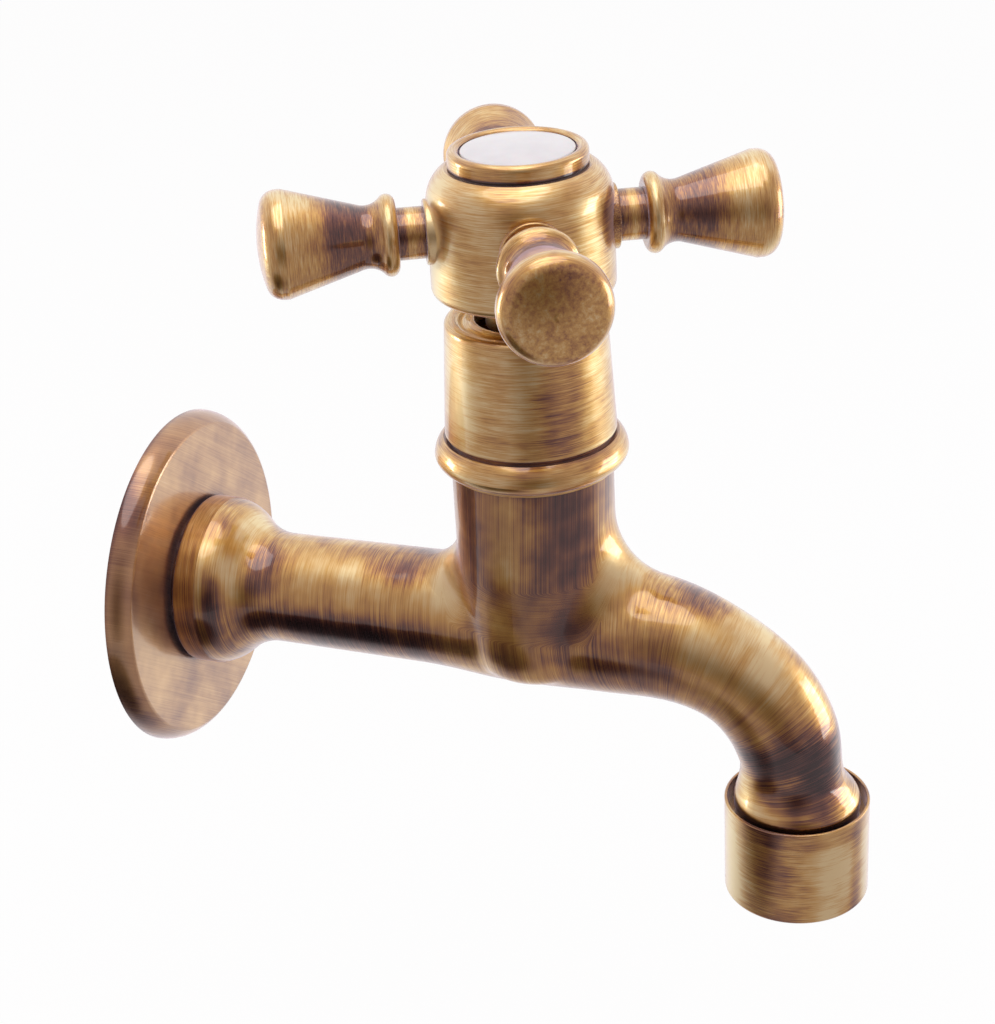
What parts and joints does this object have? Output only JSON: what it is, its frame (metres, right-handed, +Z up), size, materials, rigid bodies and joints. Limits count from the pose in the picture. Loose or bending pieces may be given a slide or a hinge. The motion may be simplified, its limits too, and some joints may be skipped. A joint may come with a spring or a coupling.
{
  "type": "basin tap",
  "caption": "Wall-mounted basin tap with a cross handle, round wall plate, curved spout and screw-on aerator.",
  "frame": {"origin": "on the inlet's axis where it meets the finished wall", "axes": "+Y points into the wall along the inlet, the tap stands out along -Y, +Z is up, and +X is to the right for someone who stands in front of the tap and looks at the wall"},
  "size_m": [0.0832, 0.1429, 0.1374],
  "materials": {
    "aged_brass": "brushed, antiqued with dark patina in the grooves",
    "turned_brass": "plain turned brass, hidden inside the tap",
    "alumina": "lapped flat, pale cream",
    "porcelain": "glossy white glaze, bare of any mark",
    "seal_rubber": "matt black",
    "gasket_fibre": "matt red-brown sheet",
    "slip_plastic": "matt, natural",
    "aerator_plastic": "matt, pale grey",
    "stainless": "bright, bare"
  },
  "bodies": {
    "body": {"tap_body": "aged_brass", "wall_rosette": "aged_brass", "column_collar": "aged_brass", "bonnet": "aged_brass", "headwork_body": "turned_brass", "headwork_gasket": "gasket_fibre", "seat_seal": "seal_rubber", "fixed_ceramic_disc": "alumina", "aerator_sleeve": "aged_brass", "outlet_washer": "seal_rubber", "aerator_cartridge": "aerator_plastic", "aerator_screen": "stainless"},
    "handle": {"spindle": "turned_brass", "spindle_o_rings": "seal_rubber", "spindle_clip": "stainless", "friction_washer": "slip_plastic", "moving_ceramic_disc": "alumina", "handle_hub": "aged_brass", "handle_arm_front": "aged_brass", "handle_arm_right": "aged_brass", "handle_arm_back": "aged_brass", "handle_arm_left": "aged_brass", "handle_screw": "stainless", "index_ring": "aged_brass", "index_o_ring": "seal_rubber", "index_disc": "porcelain"}
  },
  "joints": [
    {"name": "handle_turn", "type": "hinge", "parent": "body", "child": "handle", "pos_m": [0, -0.0714, 0.0643], "axis": [0, 0, 1], "range_deg": [0, 90]}
  ]
}
